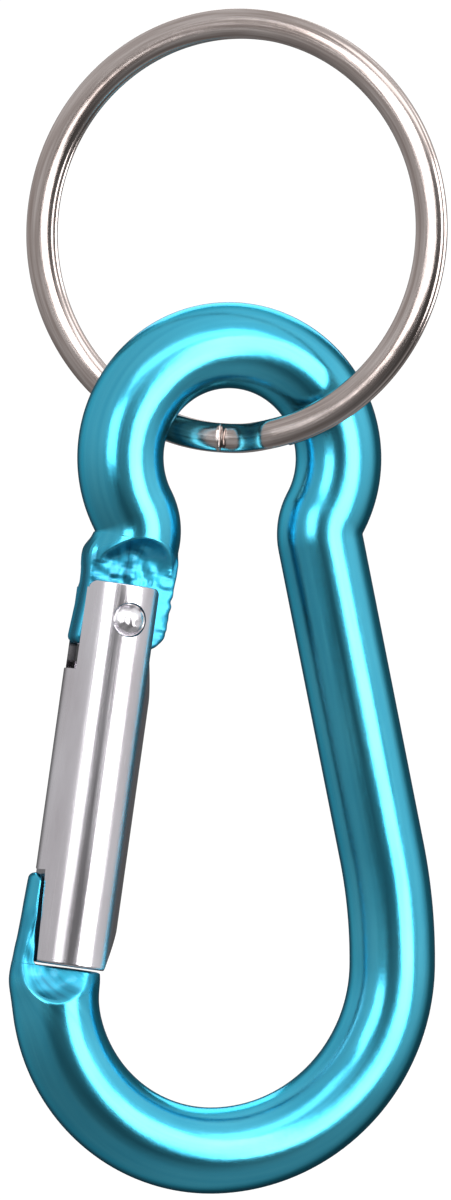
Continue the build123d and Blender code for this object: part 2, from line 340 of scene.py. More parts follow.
# ---------------------------------------------------------------- materials
def anodised_aluminium():
    """Dyed, polished rod: a tinted metal with drawing lines along it, slow waves in the colour and painted
    shade darkening the struck hollows.
    """
    material, nodes, links, shader = new_material("anodised_aluminium")
    grain = grain_vector(nodes)
    lines = noise_node(nodes, links, grain, 2.2, detail=5, stretch=(0.03, 1, 1))
    drift = noise_node(nodes, links, grain, 0.3, detail=3, stretch=(0.4, 1, 1))
    both = math_node(nodes, links, "ADD", lines, drift)
    struck = nodes.new("ShaderNodeAttribute")
    struck.attribute_name = "struck"
    dyed = range_node(nodes, links, both, 0.7, 1.3, 0.4, 1)
    # Painted shade: the struck hollows are made darker in colour, standing in for the darker reflections
    # they show.
    painted_hollow_shade = range_node(nodes, links, struck.outputs["Fac"], 0, 1, 0, 0.4)
    colour = ramp_node(nodes, links, math_node(nodes, links, "SUBTRACT", dyed, painted_hollow_shade),
                       [(0.0, (0.02, 0.18, 0.29)), (0.4, (0.04, 0.40, 0.59)), (1.0, (0.075, 0.49, 0.67))])
    links.new(colour, shader.inputs["Base Color"])
    polish = range_node(nodes, links, lines, 0.3, 0.7, 0.17, 0.27)
    dull = range_node(nodes, links, struck.outputs["Fac"], 0, 1, 0, 0.22)
    links.new(math_node(nodes, links, "ADD", polish, dull), shader.inputs["Roughness"])
    shader.inputs["Metallic"].default_value = 1.0
    shader.inputs["Specular Tint"].default_value = (0.15, 0.55, 0.7, 1)
    shader.inputs["Coat Weight"].default_value = 0.3
    shader.inputs["Coat Roughness"].default_value = 0.12
    drawn = bump_node(nodes, links, lines, 0.012, 0.25)
    waves = noise_node(nodes, links, grain, 0.9, detail=3, stretch=(0.6, 1, 1))
    links.new(bump_node(nodes, links, waves, 0.04, 0.35, drawn), shader.inputs["Normal"])
    return material


def bare_aluminium():
    """Drawn tube: bright, with fine lines along the gate and soft stains."""
    material, nodes, links, shader = new_material("bare_aluminium")
    turn = nodes.new("ShaderNodeMapping")
    turn.inputs["Rotation"].default_value = (0, -gate_tilt, 0)
    links.new(object_vector(nodes), turn.inputs["Vector"])
    grain = turn.outputs["Vector"]
    stains = noise_node(nodes, links, grain, 350, detail=4, stretch=(1, 1, 0.3))
    colour = ramp_node(nodes, links, stains, [(0.3, (0.56, 0.53, 0.56)), (0.7, (0.70, 0.68, 0.72))])
    links.new(colour, shader.inputs["Base Color"])
    lines = noise_node(nodes, links, grain, 4000, detail=4, stretch=(1, 1, 0.02))
    links.new(range_node(nodes, links, lines, 0.3, 0.7, 0.16, 0.28), shader.inputs["Roughness"])
    shader.inputs["Metallic"].default_value = 1.0
    links.new(bump_node(nodes, links, lines, 0.01, 0.4), shader.inputs["Normal"])
    return material


def rivet_aluminium():
    """Hammered head: bright, with shallow dents."""
    material, nodes, links, shader = new_material("rivet_aluminium")
    place = object_vector(nodes)
    dents = noise_node(nodes, links, place, 1500, detail=3)
    colour = ramp_node(nodes, links, dents, [(0.3, (0.58, 0.56, 0.59)), (0.7, (0.80, 0.79, 0.82))])
    links.new(colour, shader.inputs["Base Color"])
    links.new(range_node(nodes, links, dents, 0.3, 0.7, 0.22, 0.36), shader.inputs["Roughness"])
    shader.inputs["Metallic"].default_value = 1.0
    links.new(bump_node(nodes, links, dents, 0.04, 0.5), shader.inputs["Normal"])
    return material


def nickel_plate():
    """Plated steel wire: a warm mirror with rolling marks along the wire."""
    material, nodes, links, shader = new_material("nickel_plate")
    grain = grain_vector(nodes)
    lines = noise_node(nodes, links, grain, 4.0, detail=6, stretch=(0.03, 1, 1))
    colour = ramp_node(nodes, links, lines, [(0.35, (0.34, 0.28, 0.26)), (0.65, (0.56, 0.50, 0.48))])
    links.new(colour, shader.inputs["Base Color"])
    links.new(range_node(nodes, links, lines, 0.3, 0.7, 0.10, 0.20), shader.inputs["Roughness"])
    shader.inputs["Metallic"].default_value = 1.0
    drawn = bump_node(nodes, links, lines, 0.02, 0.35)
    waves = noise_node(nodes, links, grain, 0.4, detail=2)
    links.new(bump_node(nodes, links, waves, 0.05, 0.3, drawn), shader.inputs["Normal"])
    return material


def black_plastic():
    """Moulded plastic: near black, faintly speckled."""
    material, nodes, links, shader = new_material("black_plastic")
    speckle = noise_node(nodes, links, object_vector(nodes), 4000, detail=3)
    colour = ramp_node(nodes, links, speckle, [(0.3, (0.012, 0.012, 0.013)), (0.7, (0.025, 0.025, 0.027))])
    links.new(colour, shader.inputs["Base Color"])
    links.new(range_node(nodes, links, speckle, 0.3, 0.7, 0.38, 0.5), shader.inputs["Roughness"])
    links.new(bump_node(nodes, links, speckle, 0.01, 0.3), shader.inputs["Normal"])
    return material


def spring_steel():
    """Drawn wire: grey, with lines along it."""
    material, nodes, links, shader = new_material("spring_steel")
    grain = grain_vector(nodes)
    drawn = noise_node(nodes, links, grain, 8, detail=4, stretch=(0.05, 1, 1))
    colour = ramp_node(nodes, links, drawn, [(0.3, (0.30, 0.29, 0.28)), (0.7, (0.45, 0.44, 0.43))])
    links.new(colour, shader.inputs["Base Color"])
    links.new(range_node(nodes, links, drawn, 0.3, 0.7, 0.22, 0.4), shader.inputs["Roughness"])
    shader.inputs["Metallic"].default_value = 1.0
    links.new(bump_node(nodes, links, drawn, 0.01, 0.3), shader.inputs["Normal"])
    return material


# ---------------------------------------------------------------- carabiner body
# The rod is swept as rings of points. Each point lies on a ray from the middle of its ring: u runs across
# the rod towards the inside of the carabiner, and v along the carabiner's thickness.
AROUND = 144
theta = np.linspace(0, 2 * pi, AROUND, endpoint=False)
ray_u = np.cos(theta)
ray_v = np.sin(theta)
side_u = np.maximum(np.abs(ray_u), TINY)
side_v = np.maximum(np.abs(ray_v), TINY)
SETTLE_STEPS = 12        # rounds that find where a ray meets a limit
MASK_FLOOR = 0.01        # below this share of a mask, a point isn't hammered
FAR = 1000.0             # a reach past anything here

# The hinge end: a hollow struck into both faces above the tongue, which ends at an arch
hinge_arch_height = 5.5
hinge_arch_shift = 0.45
hinge_arch_curve = 0.13
hinge_bowl_rise = 1.6
hinge_bowl_length = 2.3
hinge_bowl_top = -1.0
hinge_blend = 0.1
hinge_spread = 0.32
hinge_spread_height = 4.0
hinge_spread_width = 1.15
tongue_blend = 0.7
neck_fade = 1.2
ear_bump_height = 0.1
side_mark_depth = 0.05

# The latch end: a round scoop struck into both faces, then the seat and the nose above it
scoop_centre = np.array([-11.9, -33.0])
scoop_radius = 3.45
scoop_tilt = 0.3
scoop_rise = 1.15
scoop_floor = 1.75
scoop_blend = 0.25
latch_swell_rise = 0.4
latch_swell_width = 1.2
latch_swell_outer = 0.2
latch_swell_inner = 0.14
nose_front_half = 1.4
nose_root_swell = 1.3
nose_root_below = 0.5
nose_root_above = 2.5
nose_face_middle = 1.5
nose_taper_blend = 0.6
nose_front_blend = 0.8
nose_edge_blend = 0.08
nose_edge_softness = 1.2
nose_edge_rise = 1.6
nose_least_thickness = 0.04
nose_tip_blend = 0.1
nose_tip_least = 0.02
nose_tip_length = 1.2
nose_tip_flat = 0.003
seat_rim_width = 0.8


def rod_reach(offset):
    """Distance along each ray to the round rod, from a point offset from the rod's middle."""
    return np.sqrt(rod_radius**2 - (offset * ray_v) ** 2) - offset * ray_u


def beyond_arch(x, y):
    """Height of a place on the hinge end above the arch where the struck hollow ends."""
    u = (x - pivot[0]) * leg_across[0] + (y - pivot[1]) * leg_across[1] + hinge_arch_shift
    return y - pivot[1] - hinge_arch_height + hinge_arch_curve * u**2


def from_scoop(x, y):
    """Distance of a place on the latch end from the middle of its struck scoop."""
    return np.hypot(x - scoop_centre[0], y - scoop_centre[1])


def hinge_limit(x, y):
    """Half thickness of the rod's hinge end, level and then curling up to the rod's surface at the arch."""
    share = np.clip(1 + beyond_arch(x, y) / hinge_bowl_length, 0, None)
    return np.where(x < 0, tongue_half + hinge_bowl_rise * share**3, 3 * rod_radius)


def latch_limit(x, y):
    """Half thickness of the rod's latch end, which is scooped out beside the nose."""
    floor = scoop_floor + scoop_tilt * np.clip(x - scoop_centre[0], -scoop_radius, scoop_radius)
    return floor + scoop_rise * (from_scoop(x, y) / scoop_radius) ** 4


def struck_share(points):
    """1 where a die has struck the rod and left it rougher, 0 on the drawn rod; the anodised material also
    darkens these places as painted shade.
    """
    x, y, depth = points[:, 0], points[:, 1], np.abs(points[:, 2])
    hinge = (1 - smooth_step(-0.4, 0.2, beyond_arch(x, y))) * (x < 0) * (y > latch_end_top)
    latch = 1 - smooth_step(scoop_radius - 0.5, scoop_radius + 0.1, from_scoop(x, y))
    return np.maximum(hinge, latch) * smooth_step(0.3, 0.7, depth)


def settle(reach, place, limit, blend):
    """Shortens each ray to where the rod's half thickness meets a limit that depends on the place."""
    start = reach.copy()
    for _ in range(SETTLE_STEPS):
        x, y = place(reach)
        held = soft_min(start, limit(x, y) / side_v, blend)
        reach = 0.5 * (reach + held)
    return reach


def hammered(points, mask, size, height, seed):
    """Points pushed along the carabiner's thickness by small smooth lumps, where a mask lets them."""
    chosen = np.nonzero(mask > MASK_FLOOR)[0]
    if len(chosen):
        rise = lumps(points[chosen], size, seed) * height * mask[chosen]
        points[chosen, 2] += rise * np.sign(points[chosen, 2])
    return points


def tongue_rings():
    """Rings of (x, y, depth) from the tongue's end up the left leg to the neck."""
    end_depths = tongue_edge_radius * (1 - np.cos(np.linspace(0, pi / 2, 8)))
    coarse = 0.1
    fine = 0.05
    ledge_depth = tongue_reach + 3.8
    plate_depths = np.arange(tongue_edge_radius + coarse, ledge_depth, coarse)
    ledge_depths = np.arange(ledge_depth, tongue_reach + tongue_top, fine)
    rings = []
    for depth in np.concatenate([end_depths, plate_depths, ledge_depths]):
        height = depth - tongue_reach
        edge = corner_inset(depth, tongue_edge_radius)
        taper = np.clip(1 - height / tongue_top, 0, 1)
        left = rod_radius - tongue_trim - edge
        right = rod_radius + ear_overhang * taper - max(corner_inset(depth, ear_corner_radius), edge)
        to_side = np.where(ray_u > 0, right, left) / side_u
        plate = soft_min(to_side, (tongue_half - edge) / side_v, tongue_blend)
        slope = (1 - smooth_step(0, 3, depth)) * tan(gate_lean)

        def place(reach):
            u = reach * ray_u
            rise = height + slope * u
            x = pivot[0] + u * leg_across[0] + rise * leg_up[0]
            return x, pivot[1] + u * leg_across[1] + rise * leg_up[1]

        reach = plate
        if height >= plate_height:
            rod = settle(rod_reach(0), place, hinge_limit, hinge_blend)
            share = 1 - smooth_step(tongue_top - neck_fade, tongue_top, height)
            reach = rod + share * (soft_max(plate, rod, hinge_blend) - rod)
        x, y = place(reach)
        spread = hinge_spread * np.exp(-(((height - hinge_spread_height) / hinge_spread_width) ** 2))
        points = np.stack([x - spread * np.clip(-ray_u, 0, 1), y, reach * ray_v], 1)
        struck = smooth_step(0.4 * tongue_half, 0.5 * tongue_half, np.abs(points[:, 2]))
        visible = smooth_step(gate_above_pivot - 0.3, gate_above_pivot + 0.2, height)
        bumps = visible * (1 - smooth_step(2.9, 3.6, height))
        points = hammered(points, struck * bumps, size=0.42, height=0.09, seed=2)
        hollow = 1 - smooth_step(-0.9, -0.3, beyond_arch(points[:, 0], points[:, 1]))
        points = hammered(points, struck * visible * hollow, size=0.75, height=0.16, seed=3)
        side = smooth_step(2.0, 2.3, reach * ray_u) * (1 - visible) * struck
        points = hammered(points, side, size=0.4, height=-0.08, seed=4)
        points[:, 2] -= side_mark_depth * side * np.sign(points[:, 2])
        ear = smooth_step(1.9, 2.5, reach * ray_u) * (1 - smooth_step(2.0, 3.0, height))
        chosen = np.nonzero(ear > MASK_FLOOR)[0]
        points[chosen, 0] += lumps(points[chosen], size=0.5, seed=5) * ear_bump_height * ear[chosen]
        rings.append(points)
    return rings


def arc_stations(centre, radius, start, sweep, step):
    """(point, inward normal) along an arc, without its first point."""
    count = max(2, int(abs(sweep) * radius / step))
    out = []
    for i in range(1, count + 1):
        a = start + sweep * i / count
        point = np.array([centre[0] + radius * cos(a), centre[1] + radius * sin(a)])
        tangent = np.array([-sin(a), cos(a)]) * np.sign(sweep)
        out.append((point, np.array([tangent[1], -tangent[0]])))
    return out


def rod_stations():
    """(point, inward normal) along the round rod, from the left neck to the lowest point of the base."""
    neck_sweep = leg_tilt + neck_angle
    stations = arc_stations((-neck_x, neck_y), neck_bend_radius, -leg_tilt, neck_sweep, step=0.05)
    stations += arc_stations((0, 0), loop_bend_radius, pi + neck_angle, -pi - 2 * neck_angle, step=0.25)
    stations += arc_stations((neck_x, neck_y), neck_bend_radius, pi - neck_angle, neck_sweep, step=0.1)
    top = np.array([leg_top_x, leg_top_y])
    foot = np.array([leg_foot_x, leg_foot_y])
    tangent = (foot - top) / np.linalg.norm(foot - top)
    inward = np.array([tangent[1], -tangent[0]])
    leg_step = 0.5
    count = int(np.linalg.norm(foot - top) / leg_step)
    stations += [(top + (foot - top) * i / count, inward) for i in range(1, count + 1)]
    bow_x_centre = spine_x - leg_bow_radius
    stations += arc_stations((bow_x_centre, spine_bend_y), leg_bow_radius, leg_tilt, -leg_tilt, step=0.4)
    stations += arc_stations((-base_side_shift, spine_bend_y), spine_bend_radius, 0, -pi / 2, step=0.3)
    return stations


def latch_spread(x, y):
    """Sideways growth of the rod where the latch end is coined."""
    swell = np.exp(-(((y - latch_coin_y - latch_swell_rise) / latch_swell_width) ** 2))
    outwards = np.where(x < latch_x, -latch_swell_outer, latch_swell_inner)
    return swell * outwards * np.clip(np.abs(x - latch_x) / rod_radius, 0, 1)


def face_x(y):
    """Inner side of the nose at a local height, which follows the gate that shuts against it."""
    rise = y - seat_height(nose_face_x)
    return nose_face_x - nose_face_shift + nose_face_slope * (rise - nose_face_middle)


def bow_x(y):
    """Middle of the rod's latch end at a local height."""
    rise = np.maximum(y - latch_bend_y, 0)
    return latch_x + leg_bow_radius - np.sqrt(leg_bow_radius**2 - rise**2)


def latch_ring(point, across, offset, rim):
    """A ring of the latch end, with rays from a point offset from the rod's middle, and a rounded rim."""
    def place(reach):
        u = offset + reach * ray_u
        return point[0] + u * across[0], point[1] + u * across[1]

    reach = settle(rod_reach(offset), place, latch_limit, scoop_blend)
    x, y = place(reach)
    reach = reach - rim * smooth_step(nose_face_x, nose_face_x + seat_rim_width, x)
    x, y = place(reach)
    return np.stack([x + latch_spread(x, y), y, reach * ray_v], 1)


def nose_outer_x(y):
    """Outer side of the nose at a local height: the rod's own, cut back to a taper."""
    share = (y - seat_height(nose_root_x)) / (nose_tip_y - seat_height(nose_root_x))
    taper = nose_root_x + share * (face_x(nose_tip_y) - nose_tip_thickness - nose_root_x)
    return soft_max(bow_x(y) - rod_radius, taper, nose_taper_blend)


def nose_ring(rise, beyond):
    """A ring square to the gate, at a rise above the seat, with its inner side beyond the nose's face."""
    y = seat_height(latch_x) + rise
    for _ in range(3):
        y = seat_height(bow_x(y)) + rise
    middle = bow_x(y)
    outer = nose_outer_x(seat_height(nose_root_x) + rise)
    tip_depth = np.clip(nose_tip_y - seat_height(nose_face_x) - rise, 0, None)
    tip_inset = corner_inset(tip_depth, nose_tip_radius)
    face = face_x(seat_height(nose_face_x) + rise) - tip_inset
    outer = min(outer + corner_inset(tip_depth, nose_back_radius), face - nose_least_thickness)
    offset = (0.5 * (outer + face + min(beyond, seat_corner_radius)) - middle) / cos(gate_tilt)
    nose_share = smooth_step(-nose_root_below, nose_root_above, rise)
    shift = 0
    if rise > 0:
        shift = ((outer - middle) / cos(gate_tilt) + rod_radius) * nose_share
    reach = rod_reach(offset - shift)
    start_x = middle + offset * cos(gate_tilt)
    to_face = (face + beyond - start_x) / np.maximum(ray_u * cos(gate_tilt), TINY)
    softness = smooth_step(seat_corner_radius, nose_edge_rise, rise)
    edge_blend = nose_edge_blend + nose_edge_softness * softness
    front = nose_front_half + nose_root_swell * (1 - nose_share)
    reach = soft_min(reach, front / side_v, nose_front_blend)
    reach = soft_min(reach, np.where(ray_u > 0, to_face, FAR), edge_blend)

    def place(r):
        u = offset + r * ray_u
        return middle + u * gate_across[0], y + u * gate_across[1]

    reach = settle(reach, place, latch_limit, scoop_blend)
    if tip_depth < latch_half:
        tip_half = np.sqrt(latch_half**2 - (latch_half - tip_depth) ** 2)
        reach = soft_min(reach, max(tip_half, nose_tip_least) / side_v, nose_tip_blend)
    x, y = place(reach)
    v = reach * ray_v
    if rise <= 0:
        rim_share = smooth_step(nose_face_x, nose_face_x + seat_rim_width, x)
        v = v * (1 - seat_rim_radius / rod_radius * rim_share)
    return np.stack([x + latch_spread(x, y), y, v], 1)


def latch_rings():
    """Rings from the base's lowest point round to the seat, over it to the nose, and up the nose."""
    rings = []
    root_face = face_x(seat_height(nose_face_x))
    nose_offset = (nose_root_x + root_face + seat_corner_radius) / 2 - latch_x
    coarse_end = 62
    turn_steps = np.concatenate([np.linspace(0, coarse_end, 44)[1:], np.linspace(coarse_end, 90, 76)[1:]])
    shift_start = 74
    rise_to_seat = seat_height(latch_x) - latch_bend_y
    total = latch_bend_radius * radians(90 - shift_start) + rise_to_seat
    for turn in turn_steps:
        a = -pi / 2 - radians(turn)
        outwards = np.array([cos(a), sin(a)])
        point = np.array([-base_side_shift, latch_bend_y]) + latch_bend_radius * outwards
        gone = latch_bend_radius * radians(max(turn - shift_start, 0))
        offset = nose_offset * smooth_step(0, 1, gone / total)
        rings.append(latch_ring(point, -outwards, offset, 0))
    for share in np.concatenate([np.linspace(0, 0.8, 11)[1:], np.linspace(0.8, 1, 9)[1:]]):
        y = latch_bend_y + share * rise_to_seat
        lean = gate_tilt * share
        below = rise_to_seat * (1 - share)
        gone = total - below
        offset = nose_offset * smooth_step(0, 1, gone / total)
        rim = corner_inset(below, seat_rim_radius)
        rings.append(latch_ring(np.array([bow_x(y), y]), np.array([cos(lean), -sin(lean)]), offset, rim))
    # over the flat of the seat, and round the corner at the foot of the nose
    inner_reach = latch_x + rod_radius - root_face
    for share in np.linspace(0, 1, 15)[1:]:
        rings.append(nose_ring(0, inner_reach + share * (seat_corner_radius - inner_reach)))
    for angle in np.linspace(0, pi / 2, 8)[1:]:
        rise = seat_corner_radius * (1 - cos(angle))
        rings.append(nose_ring(rise, seat_corner_radius * (1 - sin(angle))))
    tip_start = nose_tip_y - seat_height(nose_face_x) - nose_tip_length
    for rise in np.linspace(seat_corner_radius, tip_start, 26)[1:]:
        rings.append(nose_ring(rise, 0))
    for angle in np.linspace(0, pi / 2, 22)[1:]:
        rings.append(nose_ring(tip_start + nose_tip_length * sin(angle) - nose_tip_flat, 0))
    return rings


def carabiner_body():
    """The whole rod, from the tongue's end to the nose's tip: vertices, faces, grain and struck shares."""
    rings = tongue_rings()
    round_rod = np.full(AROUND, rod_radius)
    for point, inward in rod_stations():
        reach = round_rod
        if point[0] < 0 and -hinge_drop < point[1] < hinge_bowl_top:
            def place(r):
                return point[0] + inward[0] * r * ray_u, point[1] + inward[1] * r * ray_u

            reach = settle(round_rod, place, hinge_limit, hinge_blend)
        u = reach * ray_u
        rings.append(np.stack([point[0] + inward[0] * u, point[1] + inward[1] * u, reach * ray_v], 1))
    rings += latch_rings()
    stack = np.array(rings)
    middles = stack.mean(1)
    steps = np.linalg.norm(np.diff(middles, axis=0), axis=1)
    lengths = np.concatenate([[0], np.cumsum(steps)])
    points = stack.reshape(-1, 3)
    struck = struck_share(points)
    points = hammered(points, struck * (points[:, 1] < latch_end_top), size=0.9, height=0.1, seed=6)
    vertices = np.stack([loop_x + points[:, 0], points[:, 2], loop_z + points[:, 1]], 1)
    grain = np.stack([np.repeat(lengths, AROUND), np.tile(rod_radius * ray_v, len(rings)),
                      np.tile(rod_radius * ray_u, len(rings))], 1)
    return vertices, ring_faces(len(rings), AROUND), grain, struck


# ---------------------------------------------------------------- turned pieces
def turned_piece(profile, around, to_world):
    """Vertices and faces of a profile of (radius, along) points, turned about its axis and closed."""
    vertices = []
    for radius, along in profile:
        for angle in np.linspace(0, 2 * pi, around, endpoint=False):
            vertices.append(to_world(radius * cos(angle), radius * sin(angle), along))
    return vertices, ring_faces(len(profile), around)


def corner(centre_radius, centre_along, radius, start, end, count=5):
    """Points of (radius, along) round a corner of a profile, between two angles in degrees."""
    angles = np.radians(np.linspace(start, end, count))
    return [(centre_radius + radius * cos(a), centre_along + radius * sin(a)) for a in angles]


# ---------------------------------------------------------------- gate
def prism(outline, reach, to_world):
    """A closed prism on an outline of (a, b) points, from -reach to reach along the thickness."""
    count = len(outline)
    vertices = [to_world(a, b, depth) for depth in (-reach, reach) for a, b in outline]
    faces = [tuple(range(count)), tuple(reversed(range(count, 2 * count)))]
    for i in range(count):
        k = (i + 1) % count
        faces.append((i, count + i, count + k, k))
    return vertices, faces


def cut_with(piece, operation, vertices, faces):
    """Adds a boolean to a piece, and returns the object that cuts it."""
    mesh = bpy.data.meshes.new("cutter")
    mesh.from_pydata((np.array(vertices) * MM).tolist(), [], faces)
    cutter = bpy.data.objects.new("cutter", mesh)
    bpy.context.scene.collection.objects.link(cutter)
    cut = piece.modifiers.new("cut", "BOOLEAN")
    cut.operation = operation
    cut.solver = "EXACT"
    cut.object = cutter
    return cutter


def local_point(x, y, depth):
    """A point in millimetres from its local place and its depth."""
    return loop_x + x, depth, loop_z + y


def gate_axis_point(a, b, along):
    """A point in millimetres from its place about the tube's axis."""
    return gate_point(a - gate_inset, along, b)


def gate_tube_profile():
    """Tube with a web across it, as a closed profile of (radius, along)."""
    rim = tube_rim_radius
    lip = tube_lip_radius
    web_bottom = -spring_bore_depth - floor_thickness
    profile = [(AXIS_RADIUS, web_bottom), (gate_bore_radius, web_bottom)]
    profile += corner(gate_bore_radius + lip, lip - gate_below_pivot, lip, 180, 270)
    profile += corner(gate_radius - rim, rim - gate_below_pivot, rim, 270, 360, 7)
    profile += corner(gate_radius - lip, gate_above_pivot - lip, lip, 0, 90)
    profile += [(gate_bore_radius, gate_above_pivot), (gate_bore_radius, -spring_bore_depth)]
    profile.append((AXIS_RADIUS, -spring_bore_depth))
    return profile


def gate_tube(material):
    """The gate: a tube slotted for the tongue, with rounded tabs, a flat for the nose and an eased toe."""
    vertices, faces = turned_piece(gate_tube_profile(), 96, gate_axis_point)
    piece = new_piece("slotted_tube", vertices, faces, "gate", material)
    wide = 4 * gate_radius
    slots = [(-wide, -outer_slot_depth), (-gate_inset, -outer_slot_depth),
             (-gate_inset, -inner_slot_depth), (wide, -inner_slot_depth), (wide, wide), (-wide, wide)]
    cutters = [cut_with(piece, "DIFFERENCE", *prism(slots, slot_half, gate_point))]
    shoulder = gate_above_pivot - tab_corner_radius
    taper_foot = -inner_slot_depth - tab_taper_length
    half_tab = np.sqrt(gate_radius**2 - slot_half**2)
    tab_right = half_tab - tab_side_trim - gate_inset
    tab_left = tab_outer_trim - half_tab - gate_inset
    tabs = [(-wide, -wide * 3), (wide, -wide * 3), (wide, taper_foot),
            (gate_radius - gate_inset, taper_foot), (tab_right, -inner_slot_depth)]
    tabs += corner(tab_right - tab_corner_radius, shoulder, tab_corner_radius, 0, 90, 9)
    tabs += corner(tab_left + tab_corner_radius, shoulder, tab_corner_radius, 90, 180, 9)
    tabs.append((-wide, shoulder))
    cutters.append(cut_with(piece, "INTERSECT", *prism(tabs, wide, gate_point)))
    flat_top = nose_tip_y + nose_tip_gap
    flat_foot = flat_top - 3 * gate_radius
    top_x = face_x(flat_top)
    foot_x = face_x(flat_foot)
    flat = [(foot_x + nose_clearance, flat_foot), (top_x + nose_clearance, flat_top),
            (top_x - gate_radius, flat_top), (foot_x - gate_radius, flat_foot)]
    cutters.append(cut_with(piece, "DIFFERENCE", *prism(flat, gate_radius, local_point)))
    toe_outer = gate_radius - gate_inset
    toe_inner = toe_outer - toe_chamfer_width
    toe_top = toe_chamfer_height - gate_below_pivot
    toe = [(toe_inner, -wide - gate_below_pivot), (wide, -wide - gate_below_pivot), (wide, toe_top),
           (toe_outer, toe_top), (toe_inner, -gate_below_pivot)]
    cutters.append(cut_with(piece, "DIFFERENCE", *prism(toe, gate_radius, gate_point)))
    hole = rivet_head_radius + rivet_hole_gap
    circle = [(hole * cos(a), hole * sin(a)) for a in np.linspace(0, 2 * pi, 48, endpoint=False)]
    cutters.append(cut_with(piece, "DIFFERENCE", *prism(circle, wide, gate_point)))
    ease = piece.modifiers.new("ease", "BEVEL")
    ease.width = gate_edge_ease * MM
    ease.segments = 2
    ease.limit_method = "ANGLE"
    ease.angle_limit = radians(40)
    ease.harden_normals = True
    shading = piece.modifiers.new("shading", "WEIGHTED_NORMAL")
    shading.keep_sharp = True
    bpy.context.view_layer.update()
    shaped = piece.evaluated_get(bpy.context.evaluated_depsgraph_get())
    piece.data = bpy.data.meshes.new_from_object(shaped)
    piece.modifiers.clear()
    for cutter in cutters:
        bpy.data.objects.remove(cutter)
    return piece


# ---------------------------------------------------------------- rivet and plunger
def hinge_rivet():
    """Rivet clenched on both sides: low domes with a rounded edge and hammer marks."""
    top = spot_face_half_width + rivet_head_height
    edge = spot_face_half_width + rivet_head_edge
    rise = top - edge
    dome_radius = (rivet_head_radius**2 + rise**2) / (2 * rise)
    dome_margin = 0.06
    shank_ring = 1.2
    dent_depth = 0.09
    dent_level = 0.35
    head = [(AXIS_RADIUS, top)]
    for radius in np.linspace(0, rivet_head_radius - dome_margin, 12)[1:]:
        head.append((radius, top - dome_radius + np.sqrt(dome_radius**2 - radius**2)))
    head += corner(rivet_head_radius - rivet_rim_radius, edge, rivet_rim_radius, 40, -90, 7)
    head += [(rivet_radius, spot_face_half_width), (rivet_radius, shank_ring), (rivet_radius, 0)]
    profile = head + [(radius, -along) for radius, along in reversed(head[:-1])]

    def to_world(a, b, along):
        return gate_point(a, b, -along)

    vertices, faces = turned_piece(profile, 56, to_world)
    points = np.array(vertices)
    depth = np.abs(points[:, 1])
    struck = smooth_step(edge - 0.05, edge + 0.1, depth)
    dents = lumps(points, size=0.45, seed=7) + dent_level
    points[:, 1] -= np.sign(points[:, 1]) * struck * dent_depth * dents
    return points, faces


def plunger():
    """Plunger: a flat disc that bears on the tongue, on a stem inside the spring."""
    ease = plunger_edge_ease
    head_bottom = plunger_top - plunger_head_length
    stem_end = head_bottom - plunger_stem_length
    profile = [(AXIS_RADIUS, plunger_top)]
    profile += corner(plunger_radius - ease, plunger_top - ease, ease, 90, 0, 6)
    profile += corner(plunger_radius - ease, head_bottom + ease, ease, 0, -90, 6)
    profile.append((plunger_stem_radius, head_bottom))
    profile += corner(plunger_stem_radius - ease, stem_end + ease, ease, 0, -90, 6)
    profile.append((AXIS_RADIUS, stem_end))
    return turned_piece(profile, 48, gate_axis_point)


# ---------------------------------------------------------------- spring
def coil_spring():
    """Round wire wound from the web in the gate up to the plunger's head."""
    turns = (spring_head - spring_foot) / spring_pitch
    steps_per_turn = 36
    steps = int(turns * steps_per_turn)
    sides = 10
    pitch_angle = atan2(spring_pitch, 2 * pi * spring_radius)
    vertices, grain = [], []
    for i in range(steps + 1):
        angle = 2 * pi * turns * i / steps
        along = spring_foot + (spring_head - spring_foot) * i / steps
        for side in range(sides):
            turn = 2 * pi * side / sides
            out = spring_radius + spring_wire_radius * cos(turn)
            lift = spring_wire_radius * sin(turn) * cos(pitch_angle)
            slip = -spring_wire_radius * sin(turn) * sin(pitch_angle)
            a = out * cos(angle) - slip * sin(angle)
            b = out * sin(angle) + slip * cos(angle)
            vertices.append(gate_point(a - gate_inset, along + lift, b))
            round_wire = (spring_wire_radius * cos(turn), spring_wire_radius * sin(turn))
            grain.append((spring_radius * angle, *round_wire))
    return vertices, ring_faces(steps + 1, sides), grain


# ---------------------------------------------------------------- split ring
def wire_section():
    """Flattened round wire as (outward, along the ring's axis): crowned faces and rounded edges."""
    section = []
    edge_power = 0.95
    for angle in np.linspace(0, 2 * pi, 40, endpoint=False):
        out = ring_wire_width / 2 * np.sign(cos(angle)) * abs(cos(angle)) ** edge_power
        section.append((out, ring_coil_thickness / 2 * sin(angle)))
    return section


